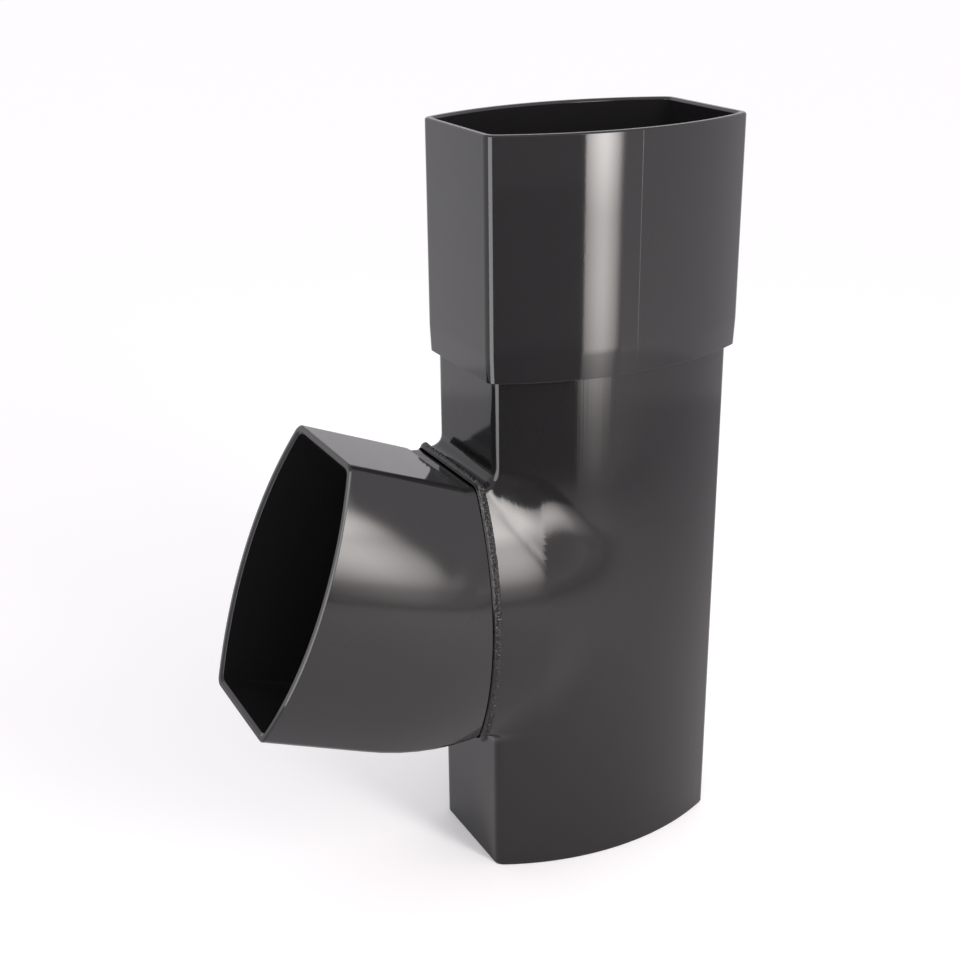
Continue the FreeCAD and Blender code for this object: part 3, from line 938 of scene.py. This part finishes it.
textures = {
    # stretch along x, y and z, scale per metre, detail
    "lines": ((1, 1, 0.006), 900, 3),
    "broadLines": ((1, 1, 0.02), 160, 2),
    "waves": ((1, 1, 1), 22, 1),
    "grain": ((1, 1, 1), 1400, 2),
    "cloud": ((1, 1, 1), 45, 4),
    "scratch": ((1, 0.3, 0.12), 420, 2),
}
wear = {
    "broadShare": 1.5,           # height of the broad lines and of the waves, against the fine lines
    "waveShare": 14,
    "scratchRange": (0.60, 0.74),
    "scratchPatches": (0.45, 0.65),
    "cloudShare": 0.5,
    "speckScale": 110,
    "speckRange": (0.02, 0.055),
    "dustPatches": (0.5, 0.7),
    "veil": 0.08,
    "dustColour": (0.32, 0.31, 0.31, 1),
}
finishes = {
    "pipePlastic": {
        "tone": (0.0105, 0.0101, 0.0107),
        "ior": 1.43,
        "relief": 0.00002,       # height of lines, waves and grain, in metres
        "neckLines": (0.2, 0.040, 0.058),      # share left at the neck, and between which distances it fades
        "sockets": {"Dust": 0.04, "Gloss": 0.085, "Scuffs": 0.06, "Lines": 1.0, "Waves": 0.12, "Grain": 0.1},
    },
    "sleevePlastic": {
        "tone": (0.0135, 0.013, 0.0137),
        "ior": 1.47,
        "relief": 0.000008,
        "sockets": {"Dust": 0.04, "Gloss": 0.055, "Scuffs": 0.04, "Lines": 0.0, "Waves": 0.6, "Grain": 0.5},
    },
    "weldPlastic": {
        "tone": (0.009, 0.0088, 0.0092),
        "ior": 1.45,
        "relief": 0.00002,
        "sockets": {"Dust": 0.06, "Gloss": 0.24, "Scuffs": 0.20, "Lines": 0.0, "Waves": 0.5, "Grain": 6.0},
    },
}


def mathNode(tree, operation, first, second):
    node = tree.nodes.new("ShaderNodeMath")
    node.operation = operation
    for socket, value in zip(node.inputs, (first, second)):
        if isinstance(value, (int, float)):
            socket.default_value = value
        else:
            tree.links.new(value, socket)
    return node.outputs[0]


def noiseNode(tree, place, stretch, scale, detail):
    mapping = tree.nodes.new("ShaderNodeMapping")
    mapping.inputs["Scale"].default_value = stretch
    tree.links.new(place, mapping.inputs["Vector"])
    pattern = tree.nodes.new("ShaderNodeTexNoise")
    pattern.inputs["Scale"].default_value = scale
    pattern.inputs["Detail"].default_value = detail
    tree.links.new(mapping.outputs["Vector"], pattern.inputs["Vector"])
    return pattern.outputs["Fac"]


def rangeNode(tree, value, low, high, newLow, newHigh):
    node = tree.nodes.new("ShaderNodeMapRange")
    node.interpolation_type = "SMOOTHSTEP"
    for name, number in (("From Min", low), ("From Max", high), ("To Min", newLow), ("To Max", newHigh)):
        node.inputs[name].default_value = number
    tree.links.new(value, node.inputs["Value"])
    return node.outputs["Result"]


def makePlasticFinish():
    group = bpy.data.node_groups.new("plasticFinish", "ShaderNodeTree")
    group.interface.new_socket(name="Tone", in_out="INPUT", socket_type="NodeSocketColor")
    for name in ("Dust", "Gloss", "Scuffs", "Lines", "Waves", "Grain"):
        group.interface.new_socket(name=name, in_out="INPUT", socket_type="NodeSocketFloat")
    group.interface.new_socket(name="Color", in_out="OUTPUT", socket_type="NodeSocketColor")
    group.interface.new_socket(name="Roughness", in_out="OUTPUT", socket_type="NodeSocketFloat")
    group.interface.new_socket(name="Height", in_out="OUTPUT", socket_type="NodeSocketFloat")
    given = group.nodes.new("NodeGroupInput").outputs
    result = group.nodes.new("NodeGroupOutput").inputs
    place = group.nodes.new("ShaderNodeTexCoord").outputs["Object"]

    def times(first, second):
        return mathNode(group, "MULTIPLY", first, second)

    def plus(first, second):
        return mathNode(group, "ADD", first, second)

    pattern = {name: noiseNode(group, place, *values) for name, values in textures.items()}
    lined = times(plus(pattern["lines"], times(pattern["broadLines"], wear["broadShare"])), given["Lines"])
    waved = times(times(pattern["waves"], wear["waveShare"]), given["Waves"])
    height = plus(plus(lined, waved), times(pattern["grain"], given["Grain"]))
    group.links.new(height, result["Height"])

    scratched = rangeNode(group, pattern["scratch"], *wear["scratchRange"], 0, 1)
    scuffed = times(scratched, rangeNode(group, pattern["cloud"], *wear["scratchPatches"], 0, 1))
    clouded = plus(times(pattern["cloud"], wear["cloudShare"]), scuffed)
    group.links.new(plus(given["Gloss"], times(clouded, given["Scuffs"])), result["Roughness"])

    specks = group.nodes.new("ShaderNodeTexVoronoi")
    specks.inputs["Scale"].default_value = wear["speckScale"]
    group.links.new(place, specks.inputs["Vector"])
    speckled = rangeNode(group, specks.outputs["Distance"], *wear["speckRange"], 1, 0)
    dusty = times(speckled, rangeNode(group, pattern["cloud"], *wear["dustPatches"], 0, 1))
    mix = group.nodes.new("ShaderNodeMix")
    mix.data_type = "RGBA"
    veiled = plus(dusty, times(pattern["cloud"], wear["veil"]))
    group.links.new(times(veiled, given["Dust"]), mix.inputs["Factor"])
    group.links.new(given["Tone"], mix.inputs["A"])
    mix.inputs["B"].default_value = wear["dustColour"]
    group.links.new(mix.outputs["Result"], result["Color"])
    return group


plasticFinish = makePlasticFinish()


def quietAtNeck(tree, share, near, far, lines):
    # The lines of extrusion fade at the neck's height, where the pipe was heated and drawn
    parts = tree.nodes.new("ShaderNodeSeparateXYZ")
    tree.links.new(tree.nodes.new("ShaderNodeTexCoord").outputs["Object"], parts.inputs["Vector"])
    away = mathNode(tree, "SUBTRACT", parts.outputs["Z"], drawnNeck["level"] / 1000)
    away = mathNode(tree, "ABSOLUTE", away, 0)
    return rangeNode(tree, away, near, far, share, lines)


def plastic(name):
    made = finishes[name]
    material = bpy.data.materials.new(name)
    material.use_nodes = True
    tree = material.node_tree
    shader = tree.nodes["Principled BSDF"]
    shader.inputs["IOR"].default_value = made["ior"]
    finish = tree.nodes.new("ShaderNodeGroup")
    finish.node_tree = plasticFinish
    finish.inputs["Tone"].default_value = (*made["tone"], 1)
    for socket, value in made["sockets"].items():
        finish.inputs[socket].default_value = value
    if "neckLines" in made:
        fading = quietAtNeck(tree, *made["neckLines"], made["sockets"]["Lines"])
        tree.links.new(fading, finish.inputs["Lines"])
    bump = tree.nodes.new("ShaderNodeBump")
    bump.inputs["Strength"].default_value = 1.0
    bump.inputs["Distance"].default_value = made["relief"]
    tree.links.new(finish.outputs["Color"], shader.inputs["Base Color"])
    tree.links.new(finish.outputs["Roughness"], shader.inputs["Roughness"])
    tree.links.new(finish.outputs["Height"], bump.inputs["Height"])
    tree.links.new(bump.outputs["Normal"], shader.inputs["Normal"])
    return material


pipePlastic, sleevePlastic, weldPlastic = (plastic(name) for name in finishes)
for piece, material, slot in ((mainPipe, pipePlastic, "pipe"), (upperSocket, sleevePlastic, "sleeve"),
                              (branchSocket, sleevePlastic, "sleeve"), (weld, weldPlastic, "weld")):
    piece.data.materials.append(material)
print("materials set")
